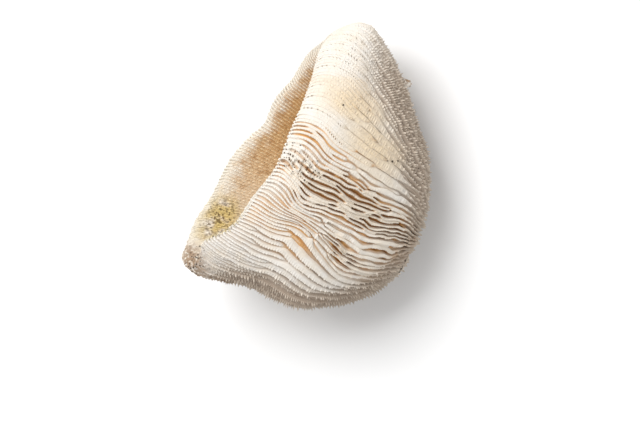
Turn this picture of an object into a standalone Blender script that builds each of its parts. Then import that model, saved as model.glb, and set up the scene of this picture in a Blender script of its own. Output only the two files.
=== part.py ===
"""Mushroom coral: a tall, cap-shaped skeleton with a hollow underside.

The skeleton is one piece, so it is one closed solid. Its upper side is a high dome
whose ridges (the septa) run from a short mouth slit at the crest to the rim. Its
underside is a hollow lined with finer ribs. It lies on its flank, as a loose
specimen does, and a few worn ridge tips give it flat resting patches.

Growth frame, before the coral is laid down: u runs along the long axis from heel to
nose, w across it from the underlying flank to the upper one, and d from the plane of
the rim up to the crest. Laid down, d points along +X, u along +Y and w along +Z.
"""

import math

import bmesh
import bpy
import numpy as np
from mathutils import Matrix, Vector

MM = 0.001

# Rings of the skin, in millimetres, from the floor of the mouth slit over the dome to
# the rim, and on through the hollow to its middle. Each ring gives the height above the
# rim plane and the reach along u of its nose end, the same two of its heel end, then
# the height of its flanks and its half width.
DOME_RINGS = [
    (60.8, 13.6, 65.2, -12.6, 65.2, 0.3),
    (62.2, 14.8, 68.2, -14.8, 67.6, 1.9),
    (60.6, 19.4, 66.0, -21.0, 66.6, 6.6),
    (57.4, 25.6, 61.8, -28.6, 63.2, 13.2),
    (52.6, 31.8, 55.6, -35.2, 58.6, 18.8),
    (46.8, 36.2, 48.4, -40.4, 52.0, 23.9),
    (39.8, 42.2, 40.8, -45.0, 43.6, 28.0),
    (30.8, 48.8, 31.6, -46.8, 32.6, 31.4),
    (20.6, 54.4, 20.8, -47.4, 21.0, 33.2),
    (10.8, 57.4, 10.4, -50.8, 10.8, 33.8),
    (4.3, 54.0, 4.2, -51.8, 4.3, 32.8),
]
RIM_RING = (0.0, 47.6, 0.0, -50.0, 0.0, 31.0)
HOLLOW_RINGS = [
    (0.9, 45.4, 0.9, -47.2, 0.9, 29.0),
    (7.0, 42.8, 7.0, -43.6, 7.0, 26.6),
    (16.0, 38.0, 16.0, -38.2, 16.0, 23.6),
    (26.0, 30.4, 26.0, -31.8, 26.0, 19.6),
    (35.0, 20.2, 35.0, -23.4, 35.0, 13.8),
    (40.6, 7.2, 40.6, -12.6, 40.6, 7.0),
    (42.4, -2.4, 42.4, -3.2, 42.4, 0.3),
]

NOSE_TAPER = 0.10  # share by which the flanks draw in towards the nose
START_SWEEP = 5.0  # how far the ridges lean towards the heel just above the rim, in degrees
NOSE_SWEEP = 8.0  # how much further those beside the nose do
DRAW_SWEEP = 12.0  # how far the nose's ridges draw back higher up
SPREAD_SWEEP = 11.0  # how far the heel's ridges spread away from them on the upper flank

RIM_SAG = 4.4 * MM  # how much deeper the rim hangs on the underlying side of the heel
RIM_SAG_ANGLE = math.radians(216.0)
RIM_SAG_SPREAD = math.radians(54.0)
NOSE_LIFT = 1.5 * MM  # how much the rim draws up at the nose

# Bows of the rim, four on the upper side and the rest on the lower: the angle from the
# nose and the spread, in degrees, and how far it hangs there. A negative one draws up.
RIM_BOWS = [
    (34.0, 20.0, 3.0 * MM),
    (94.0, 13.0, -2.1 * MM),
    (119.0, 8.0, -0.7 * MM),
    (142.0, 9.5, 4.2 * MM),
    (190.0, 8.0, 0.8 * MM),
    (210.0, 9.0, -0.6 * MM),
    (238.0, 10.0, -0.8 * MM),
    (261.0, 9.0, 1.0 * MM),
    (282.0, 6.5, -1.9 * MM),
    (305.0, 7.0, -0.9 * MM),
    (323.0, 6.0, 0.4 * MM),
    (339.0, 7.0, -0.5 * MM),
]

RIDGE_COUNT = 72
RIDGE_DEPTH = 2.0 * MM  # from a ridge's tip to the groove beside it
RIM_NOTCH = 1.2 * MM  # the same at the rim
RIB_DEPTH = 0.8 * MM  # the same for the ribs of the hollow
ROWS_ON_DOME = 22
ROWS_IN_HOLLOW = 12

LUMP_HEIGHT = 0.7 * MM  # slow swellings of the dome

# How the coral lies: turned about its long axis, then pitched along it.
LIE_ROLL = math.radians(23.2)
LIE_PITCH = math.radians(-8.6)
WORN_DEPTH = 0.7 * MM  # what is worn off the lowest ridge tips

SKELETON_COLOUR = (0.82, 0.76, 0.66, 1.0)
SKELETON_ROUGHNESS = 0.9


def smooth_curve(knots, values, places):
    """Reads a smooth curve through values at knots, one column at a time."""
    slopes = np.gradient(values, knots, axis=0)
    index = np.clip(np.searchsorted(knots, places) - 1, 0, len(knots) - 2)
    span = (knots[index + 1] - knots[index])[:, None]
    x = (places[:, None] - knots[index][:, None]) / span
    start, end = values[index], values[index + 1]
    return (
        start * (2 * x**3 - 3 * x**2 + 1)
        + slopes[index] * span * (x**3 - 2 * x**2 + x)
        + end * (3 * x**2 - 2 * x**3)
        + slopes[index + 1] * span * (x**3 - x**2)
    )


def meridian():
    """Returns the rings in metres, the place of each along the meridian, and the rim's place."""
    rings = np.array(DOME_RINGS + [RIM_RING] + HOLLOW_RINGS) * MM
    steps = np.linalg.norm(np.diff(rings[:, [4, 5]], axis=0), axis=1)
    places = np.concatenate([[0.0], np.cumsum(steps)])
    return rings, places, places[len(DOME_RINGS)]


def eased(value):
    """Eases a share from 0 to 1 in and out."""
    held = np.clip(value, 0.0, 1.0)
    return held * held * (3.0 - 2.0 * held)


def fanned(angle, dome_share):
    """Bends the ridges on their way up the dome.

    They first lean towards the heel. Higher up those of the nose's half draw back towards
    the nose, and on the upper flank those of the heel's half spread away from them.
    dome_share is 0 at the rim and 1 at the mouth.
    """
    held = angle % (2.0 * math.pi)
    upper = held < math.pi
    away = np.degrees(np.where(upper, held, 2.0 * math.pi - held))
    start = START_SWEEP + NOSE_SWEEP * np.exp(-(((away - 18.0) / 16.0) ** 2))
    start = start * eased(away / 12.0) * eased((180.0 - away) / 25.0)
    drawn = -DRAW_SWEEP * eased((away - 40.0) / 30.0) * eased((175.0 - away) / 40.0)
    spread = SPREAD_SWEEP * np.exp(-(((away - 110.0) / 18.0) ** 2))
    split = eased((away - 100.0) / 14.0) * upper
    shift = start * eased(dome_share / 0.2)
    shift = shift + (drawn + (spread - drawn) * split) * eased((dome_share - 0.22) / 0.5)
    return angle + np.radians(shift) * np.where(upper, 1.0, -1.0)


def lumps(angle, dome_share):
    """Slow swellings of the dome, as a share of their greatest height."""
    return (
        np.sin(2.0 * angle + 5.0 * dome_share + 0.6)
        + 0.7 * np.sin(3.0 * angle - 4.0 * dome_share + 2.1)
        + 0.5 * np.sin(5.0 * angle + 7.0 * dome_share)
    ) / 2.2


def rim_drop(angle):
    """How far the rim hangs below its plane.

    The heel sags, the nose is lifted, and between them the rim bows in and out.
    """
    sag = RIM_SAG * np.exp(-(((angle - RIM_SAG_ANGLE) / RIM_SAG_SPREAD) ** 2))
    sag = sag - NOSE_LIFT * np.exp((np.cos(angle) - 1.0) / 0.25)
    on_flanks = eased(np.abs(np.sin(angle)) / 0.3)
    for centre, spread, depth in RIM_BOWS:
        sag = sag + on_flanks * depth * np.exp(-(((np.degrees(angle) - centre) / spread) ** 2))
    return sag


def skin_points(angles, places):
    """Points of the smooth skin, on a grid of rim angles by places along the meridian."""
    rings, knots, rim_place = meridian()
    d_nose, u_nose, d_heel, u_heel, d_flank, half_width = smooth_curve(knots, rings, places).T
    dome_share = np.clip(1.0 - places / rim_place, 0.0, 1.0)[None, :]
    rim_angle = angles[:, None]
    angle = fanned(rim_angle, dome_share)
    cosine = np.cos(angle)
    u = (u_nose + u_heel) / 2.0 + (u_nose - u_heel) / 2.0 * cosine
    w = half_width * np.sin(angle) * (1.0 - NOSE_TAPER * cosine)
    d = d_flank + (d_nose - d_heel) / 2.0 * cosine + ((d_nose + d_heel) / 2.0 - d_flank) * cosine**2
    nearness = np.exp(-(((places - rim_place) / (11.0 * MM)) ** 2))
    d = d - rim_drop(rim_angle) * nearness[None, :]
    return np.stack([d, u, w], axis=-1)


def skin_normals(points):
    """Outward normals of a grid of points that closes on itself across its first axis."""
    across = np.roll(points, -1, axis=0) - np.roll(points, 1, axis=0)
    along = np.gradient(points, axis=1)
    normals = np.cross(along, across)
    length = np.linalg.norm(normals, axis=-1, keepdims=True)
    return normals / np.maximum(length, 1e-12)


def relief(places, columns):
    """How far each grid point sinks below the ridge tips, for alternate ridges and grooves."""
    rim_place = meridian()[2]
    whole = meridian()[1][-1]
    dome_share = 1.0 - places / rim_place
    hollow_share = (places - rim_place) / (whole - rim_place)
    on_dome = RIM_NOTCH + (RIDGE_DEPTH - RIM_NOTCH) * eased(dome_share / 0.15)
    on_dome = on_dome * np.clip((1.0 - dome_share) / 0.25, 0.0, 1.0)
    in_hollow = RIB_DEPTH * np.clip((1.0 - hollow_share) / 0.3, 0.0, 1.0)
    depth = np.where(places <= rim_place, on_dome, in_hollow)
    is_groove = (np.arange(columns) % 2)[:, None]
    return is_groove * depth[None, :]


def coral_points():
    """The coral's grid of points, columns by rows, in the growth frame's (d, u, w) order."""
    columns = 2 * RIDGE_COUNT
    angles = np.arange(columns) * (2.0 * math.pi / columns)
    rim_place = meridian()[2]
    whole = meridian()[1][-1]
    on_dome = np.linspace(0.0, rim_place, ROWS_ON_DOME)
    in_hollow = np.linspace(rim_place, whole, ROWS_IN_HOLLOW + 1)[1:]
    places = np.concatenate([on_dome, in_hollow])
    points = skin_points(angles, places)
    normals = skin_normals(points)
    dome_share = np.clip(1.0 - places / rim_place, 0.0, 1.0)
    swell = LUMP_HEIGHT * lumps(angles[:, None], dome_share[None, :])
    swell = swell * np.sin(math.pi * dome_share)[None, :]
    sunk = relief(places, columns)
    return points + normals * (swell - sunk)[..., None]


def laid_down(mesh):
    """Lays the coral on its flank, wears its lowest tips flat and puts its base on z = 0."""
    turned = Matrix.Rotation(LIE_PITCH, 4, "X") @ Matrix.Rotation(LIE_ROLL, 4, "Y")
    mesh.transform(turned)
    lowest = min(v.co.z for v in mesh.verts)
    cut = bmesh.ops.bisect_plane(
        mesh,
        geom=mesh.verts[:] + mesh.edges[:] + mesh.faces[:],
        dist=1e-7,
        plane_co=(0.0, 0.0, lowest + WORN_DEPTH),
        plane_no=(0.0, 0.0, 1.0),
        clear_inner=True,
    )
    rims = [e for e in cut["geom_cut"] if isinstance(e, bmesh.types.BMEdge)]
    bmesh.ops.holes_fill(mesh, edges=rims, sides=0)
    low = Vector([min(v.co[axis] for v in mesh.verts) for axis in range(3)])
    high = Vector([max(v.co[axis] for v in mesh.verts) for axis in range(3)])
    middle = (low + high) / 2.0
    bmesh.ops.translate(mesh, verts=mesh.verts, vec=(-middle.x, -middle.y, -low.z))


def coral_mesh():
    """Shapes a globe into the coral: its upper half makes the dome, its lower half the hollow."""
    grid = coral_points()
    columns, rows = grid.shape[:2]
    mesh = bmesh.new()
    bmesh.ops.create_uvsphere(mesh, u_segments=columns, v_segments=rows - 1, radius=1.0)
    for vertex in mesh.verts:
        turn = math.atan2(vertex.co.y, vertex.co.x) % (2.0 * math.pi)
        column = round(turn / (2.0 * math.pi) * columns) % columns
        row = round(math.acos(max(-1.0, min(1.0, vertex.co.z))) / math.pi * (rows - 1))
        at_pole = row in (0, rows - 1)
        place = grid[:, row].mean(axis=0) if at_pole else grid[column, row]
        vertex.co = Vector(place)
    bmesh.ops.recalc_face_normals(mesh, faces=mesh.faces)
    laid_down(mesh)
    bmesh.ops.triangulate(mesh, faces=mesh.faces)
    return mesh


def skeleton_material():
    """Dry, chalky coral skeleton."""
    material = bpy.data.materials.new("coral_skeleton")
    material.use_nodes = True
    surface = material.node_tree.nodes["Principled BSDF"]
    surface.inputs["Base Color"].default_value = SKELETON_COLOUR
    surface.inputs["Roughness"].default_value = SKELETON_ROUGHNESS
    surface.inputs["Metallic"].default_value = 0.0
    return material


def main():
    """Builds the coral."""
    for old in list(bpy.data.objects):
        bpy.data.objects.remove(old, do_unlink=True)
    shape = coral_mesh()
    data = bpy.data.meshes.new("coral")
    shape.to_mesh(data)
    shape.free()
    coral = bpy.data.objects.new("coral", data)
    bpy.context.scene.collection.objects.link(coral)
    data.materials.append(skeleton_material())


main()
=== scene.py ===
"""Mushroom coral: the toothed blades, stains and studio of a helmet-shaped skeleton.

The skeleton is one closed skin. It starts at the mouth slit on the crest, runs over the
dome and the rim, and ends in the middle of the hollow underside. The blades (septa) are
folds of that skin. It is made in six closed wedges, which meet inside the skeleton.

Growth frame, in millimetres: d is the height above the rim's plane, u runs along the
coral from heel to nose, and w crosses it from the underlying flank to the upper one.
"""

import logging
import math
from dataclasses import dataclass, field
from enum import Enum

import bmesh
import bpy
import numpy as np
from mathutils import Matrix, Vector


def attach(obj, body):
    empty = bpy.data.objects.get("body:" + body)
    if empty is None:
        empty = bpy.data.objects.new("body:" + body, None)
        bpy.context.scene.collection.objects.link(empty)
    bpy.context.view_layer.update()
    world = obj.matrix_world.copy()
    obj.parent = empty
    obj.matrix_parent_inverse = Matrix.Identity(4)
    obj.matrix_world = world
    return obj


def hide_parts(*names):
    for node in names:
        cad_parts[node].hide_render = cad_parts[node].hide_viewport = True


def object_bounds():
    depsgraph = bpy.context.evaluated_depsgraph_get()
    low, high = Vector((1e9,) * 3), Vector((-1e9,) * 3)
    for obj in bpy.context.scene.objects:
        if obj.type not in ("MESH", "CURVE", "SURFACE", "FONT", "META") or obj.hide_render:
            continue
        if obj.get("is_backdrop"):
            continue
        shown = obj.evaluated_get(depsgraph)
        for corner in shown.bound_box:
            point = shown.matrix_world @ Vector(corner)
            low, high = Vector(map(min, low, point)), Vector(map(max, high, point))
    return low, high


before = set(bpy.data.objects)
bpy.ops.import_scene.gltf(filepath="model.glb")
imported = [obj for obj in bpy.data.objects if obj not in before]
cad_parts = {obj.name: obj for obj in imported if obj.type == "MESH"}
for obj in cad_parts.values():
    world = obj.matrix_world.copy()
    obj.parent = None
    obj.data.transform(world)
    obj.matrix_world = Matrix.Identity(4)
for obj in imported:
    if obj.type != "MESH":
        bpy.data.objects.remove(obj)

logging.basicConfig(level=logging.INFO, format="%(message)s")
log = logging.getLogger("coral")

MM = 0.001
FULL_TURN = 2.0 * math.pi
NODE = "coral"

# How the coral lies, and where the middle of its rim's plane then is, in millimetres.
LIE_ROLL = math.radians(23.2)
LIE_PITCH = math.radians(-8.6)
RIM_MIDDLE = (-24.53, -2.49, 42.16)

# The photograph's view of the coral: how far it is tilted from the flank towards the
# hollow, how its long axis runs in the frame, and its scale.
VIEW_TILT = math.radians(11.5)
VIEW_ALONG = (0.503, 0.864)
VIEW_ORIGIN = (262.0, 147.0)
VIEW_SCALE = 0.36
VIEW_DISTANCE = 900.0
VIEW_CENTRE = (-10.2, 30.1, -6.0)
FRAME_WIDTH = 640.0

Socket = bpy.types.NodeSocket


def eased(value: np.ndarray) -> np.ndarray:
    """Eases a share from 0 to 1 in and out."""
    held = np.clip(value, 0.0, 1.0)
    return held * held * (3.0 - 2.0 * held)


def blend(low: np.ndarray, high: np.ndarray, share: np.ndarray) -> np.ndarray:
    """Mixes two fields by a share from 0 to 1."""
    return low + (high - low) * share


def bell(value: np.ndarray, middle: float, spread: float) -> np.ndarray:
    """Rises to 1 at the middle and falls away on both sides over the spread."""
    return np.exp(-(((value - middle) / spread) ** 2))


def in_scene(shape: bmesh.types.BMesh, name: str) -> bpy.types.Object:
    """Turns a shape into an object of the scene and frees the shape.

    Args:
        shape: the finished shape.
        name: the name of the mesh and of the object.

    Returns:
        The object, at the origin, unturned and unscaled.
    """
    mesh = bpy.data.meshes.new(name)
    shape.to_mesh(mesh)
    shape.free()
    piece = bpy.data.objects.new(name, mesh)
    bpy.context.scene.collection.objects.link(piece)
    return piece


def plain_material(name: str, colour: tuple, roughness: float) -> bpy.types.Material:
    """Makes a material of one colour.

    Args:
        name: the material's name.
        colour: red, green and blue.
        roughness: from 0, polished, to 1.

    Returns:
        The material.
    """
    material = bpy.data.materials.new(name)
    material.use_nodes = True
    surface = material.node_tree.nodes["Principled BSDF"]
    surface.inputs["Base Color"].default_value = (*colour, 1.0)
    surface.inputs["Roughness"].default_value = roughness
    return material


def seat(piece: bpy.types.Object, material: bpy.types.Material) -> None:
    """Dresses a piece, hangs it under the root body and hides the imported coral part.

    Args:
        piece: the piece.
        material: what it is made of.
    """
    piece.data.materials.append(material)
    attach(piece, "root")
    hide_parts(NODE)
    log.info("%s: %d faces", piece.name, len(piece.data.polygons))


@dataclass
class Grain:
    """Smooth three-dimensional noise from a seeded lattice."""

    seed: int
    cells: int = 32
    lattice: np.ndarray = field(init=False)

    def __post_init__(self) -> None:
        """Draws the lattice."""
        draw = np.random.default_rng(self.seed)
        self.lattice = draw.uniform(-1.0, 1.0, (self.cells,) * 3)

    def at(self, points: np.ndarray, size: float) -> np.ndarray:
        """Reads the noise.

        Args:
            points: places in millimetres, last axis of three.
            size: size of one swell in millimetres.

        Returns:
            Values from -1 to 1, one for each place.
        """
        scaled = points / size
        low = np.floor(scaled).astype(int)
        share = scaled - low
        share = share * share * (3.0 - 2.0 * share)
        total = np.zeros(points.shape[:-1])
        for corner in range(8):
            step = np.array([corner & 1, (corner >> 1) & 1, (corner >> 2) & 1])
            index = (low + step) % self.cells
            weight = np.prod(np.where(step == 1, share, 1.0 - share), axis=-1)
            total += weight * self.lattice[index[..., 0], index[..., 1], index[..., 2]]
        return total


@dataclass
class Skin:
    """The smooth outer form, through the tips of the blades.

    Each ring gives the height and the reach along u of its nose end, the same two of its
    heel end, then the height of its flanks and its half width.
    """

    dome_rings: tuple = (
        (60.8, 13.6, 65.2, -12.6, 65.2, 0.3),
        (62.2, 14.8, 68.2, -14.8, 67.6, 1.9),
        (60.6, 19.4, 66.0, -21.0, 66.6, 6.6),
        (57.4, 25.6, 61.8, -28.6, 63.2, 13.2),
        (52.6, 31.8, 55.6, -35.2, 58.6, 18.8),
        (46.8, 36.2, 48.4, -40.4, 52.0, 23.9),
        (39.8, 42.2, 40.8, -45.0, 43.6, 28.0),
        (30.8, 48.8, 31.6, -46.8, 32.6, 31.4),
        (20.6, 54.4, 20.8, -47.4, 21.0, 33.2),
        (10.8, 57.4, 10.4, -50.8, 10.8, 33.8),
        (4.3, 54.0, 4.2, -51.8, 4.3, 32.8),
    )
    rim_ring: tuple = (0.0, 47.6, 0.0, -50.0, 0.0, 31.0)
    hollow_rings: tuple = (
        (0.9, 45.4, 0.9, -47.2, 0.9, 29.0),
        (7.0, 42.8, 7.0, -43.6, 7.0, 26.6),
        (16.0, 38.0, 16.0, -38.2, 16.0, 23.6),
        (26.0, 30.4, 26.0, -31.8, 26.0, 19.6),
        (35.0, 20.2, 35.0, -23.4, 35.0, 13.8),
        (40.6, 7.2, 40.6, -12.6, 40.6, 7.0),
        (42.4, -2.4, 42.4, -3.2, 42.4, 0.3),
    )
    nose_taper: float = 0.10
    start_sweep: float = 5.0
    nose_sweep: float = 8.0
    draw_sweep: float = 12.0
    spread_sweep: float = 11.0
    rim_sag: float = 4.4
    rim_sag_angle: float = math.radians(216.0)
    rim_sag_spread: float = math.radians(54.0)
    nose_lift: float = 1.5
    rim_bows: tuple = (
        (34.0, 20.0, 3.0),
        (94.0, 13.0, -2.1),
        (119.0, 8.0, -0.7),
        (142.0, 9.5, 4.2),
        (190.0, 8.0, 0.8),
        (210.0, 9.0, -0.6),
        (238.0, 10.0, -0.8),
        (261.0, 9.0, 1.0),
        (282.0, 6.5, -1.9),
        (305.0, 7.0, -0.9),
        (323.0, 6.0, 0.4),
        (339.0, 7.0, -0.5),
    )
    lump_height: float = 0.7
    rim_reach: float = 11.0
    rings: np.ndarray = field(init=False)
    knots: np.ndarray = field(init=False)

    def __post_init__(self) -> None:
        """Works out the place of each ring along the meridian."""
        self.rings = np.array(self.dome_rings + (self.rim_ring,) + self.hollow_rings)
        steps = np.linalg.norm(np.diff(self.rings[:, [4, 5]], axis=0), axis=1)
        self.knots = np.concatenate([[0.0], np.cumsum(steps)])

    @property
    def rim_place(self) -> float:
        """Place of the rim along the meridian, from the mouth."""
        return float(self.knots[len(self.dome_rings)])

    @property
    def length(self) -> float:
        """Length of the meridian from the mouth to the middle of the hollow."""
        return float(self.knots[-1])

    def ring_at(self, place: np.ndarray) -> np.ndarray:
        """Reads the rings' six measures from the smooth curve through them.

        Args:
            place: places along the meridian.

        Returns:
            The measures, on a last axis of six.
        """
        flat = np.clip(place, 0.0, self.length).ravel()
        slopes = np.gradient(self.rings, self.knots, axis=0)
        index = np.clip(np.searchsorted(self.knots, flat) - 1, 0, len(self.knots) - 2)
        span = (self.knots[index + 1] - self.knots[index])[:, None]
        x = (flat[:, None] - self.knots[index][:, None]) / span
        start, end = self.rings[index], self.rings[index + 1]
        read = (
            start * (2 * x**3 - 3 * x**2 + 1)
            + slopes[index] * span * (x**3 - 2 * x**2 + x)
            + end * (3 * x**2 - 2 * x**3)
            + slopes[index + 1] * span * (x**3 - x**2)
        )
        return read.reshape(place.shape + (6,))

    def dome_share(self, place: np.ndarray) -> np.ndarray:
        """Height on the dome, from 0 at the rim and in the hollow to 1 at the mouth."""
        return np.clip(1.0 - place / self.rim_place, 0.0, 1.0)

    def hollow_share(self, place: np.ndarray) -> np.ndarray:
        """Depth in the hollow, from 0 at the rim and on the dome to 1 at its middle."""
        return np.clip((place - self.rim_place) / (self.length - self.rim_place), 0.0, 1.0)

    def fanned(self, turn: np.ndarray, share: np.ndarray) -> np.ndarray:
        """Bends the blades on their way up, as seen on the upper flank.

        They first lean towards the heel. Higher up those of the nose's half draw back
        towards the nose, and on the upper flank those of the heel's half spread away
        from them.

        Args:
            turn: angles at the rim, 0 at the nose.
            share: height on the dome, 0 to 1.

        Returns:
            The angles at that height.
        """
        held = turn % FULL_TURN
        upper = held < math.pi
        away = np.degrees(np.where(upper, held, FULL_TURN - held))
        start = self.start_sweep + self.nose_sweep * bell(away, 18.0, 16.0)
        start = start * eased(away / 12.0) * eased((180.0 - away) / 25.0)
        split = eased((away - 100.0) / 14.0) * upper
        drawn = -self.draw_sweep * eased((away - 40.0) / 30.0) * eased((175.0 - away) / 40.0)
        spread = self.spread_sweep * bell(away, 110.0, 18.0)
        shift = start * eased(share / 0.2)
        shift = shift + blend(drawn, spread, split) * eased((share - 0.22) / 0.5)
        return turn + np.radians(shift) * np.where(upper, 1.0, -1.0)

    def rim_drop(self, turn: np.ndarray) -> np.ndarray:
        """How far the rim hangs below its plane.

        Args:
            turn: angles at the rim, 0 at the nose.

        Returns:
            Depths in millimetres.
        """
        held = turn % FULL_TURN
        sag = self.rim_sag * bell(held, self.rim_sag_angle, self.rim_sag_spread)
        sag = sag - self.nose_lift * np.exp((np.cos(held) - 1.0) / 0.25)
        on_flanks = eased(np.abs(np.sin(held)) / 0.3)
        for centre, spread, depth in self.rim_bows:
            sag = sag + on_flanks * depth * bell(np.degrees(held), centre, spread)
        return sag

    def swell(self, turn: np.ndarray, place: np.ndarray) -> np.ndarray:
        """Height of the dome's slow swellings.

        Args:
            turn: angles at the rim, 0 at the nose.
            place: places along the meridian.

        Returns:
            Heights in millimetres.
        """
        share = self.dome_share(place)
        lumps = (
            np.sin(2.0 * turn + 5.0 * share + 0.6)
            + 0.7 * np.sin(3.0 * turn - 4.0 * share + 2.1)
            + 0.5 * np.sin(5.0 * turn + 7.0 * share)
        ) / 2.2
        return self.lump_height * lumps * np.sin(math.pi * share)

    def points(self, turn: np.ndarray, place: np.ndarray) -> np.ndarray:
        """Points of the smooth skin.

        Args:
            turn: angles at the rim, 0 at the nose.
            place: places along the meridian, the same shape as turn.

        Returns:
            Points (d, u, w) in millimetres.
        """
        d_nose, u_nose, d_heel, u_heel, d_flank, half_width = np.moveaxis(self.ring_at(place), -1, 0)
        angle = self.fanned(turn, self.dome_share(place))
        cosine = np.cos(angle)
        u = (u_nose + u_heel) / 2.0 + (u_nose - u_heel) / 2.0 * cosine
        w = half_width * np.sin(angle) * (1.0 - self.nose_taper * cosine)
        d = d_flank + (d_nose - d_heel) / 2.0 * cosine
        d = d + ((d_nose + d_heel) / 2.0 - d_flank) * cosine**2
        nearness = bell(place, self.rim_place, self.rim_reach)
        return np.stack([d - self.rim_drop(turn) * nearness, u, w], axis=-1)

    def normals(self, turn: np.ndarray, place: np.ndarray) -> np.ndarray:
        """Normals of the smooth skin.

        Args:
            turn: angles at the rim, 0 at the nose.
            place: places along the meridian, the same shape as turn.

        Returns:
            Outward vectors of length 1 (d, u, w).
        """
        small_turn, small_step = 0.01, 0.4
        across = self.points(turn + small_turn, place) - self.points(turn - small_turn, place)
        before = np.clip(place - small_step, 0.0, self.length)
        after = np.clip(place + small_step, 0.0, self.length)
        along = self.points(turn, after) - self.points(turn, before)
        normals = np.cross(along, across)
        length = np.linalg.norm(normals, axis=-1, keepdims=True)
        return normals / np.maximum(length, 1e-9)


@dataclass(frozen=True)
class Patch:
    """A soft-edged oval on the flank, as the photograph's frame shows it.

    Sizes are in the frame's pixels, and lean is how far the oval's length turns clockwise
    from level.
    """

    centre: tuple
    length: float
    width: float
    lean: float = 0.0
    strength: float = 1.0

    def at(self, seen: np.ndarray) -> np.ndarray:
        """Reads the patch at places in the frame.

        Args:
            seen: places (x right, y down) in pixels.

        Returns:
            The patch's strength at each, from 0.
        """
        turn = math.radians(self.lean)
        x = seen[..., 0] - self.centre[0]
        y = seen[..., 1] - self.centre[1]
        along = (x * math.cos(turn) + y * math.sin(turn)) / self.length
        across = (y * math.cos(turn) - x * math.sin(turn)) / self.width
        return self.strength * np.exp(-((along**2 + across**2) ** 1.5))


def strongest(patches: tuple, seen: np.ndarray) -> np.ndarray:
    """Reads several patches, the strongest at each place."""
    return np.max([patch.at(seen) for patch in patches], axis=0)


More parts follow.
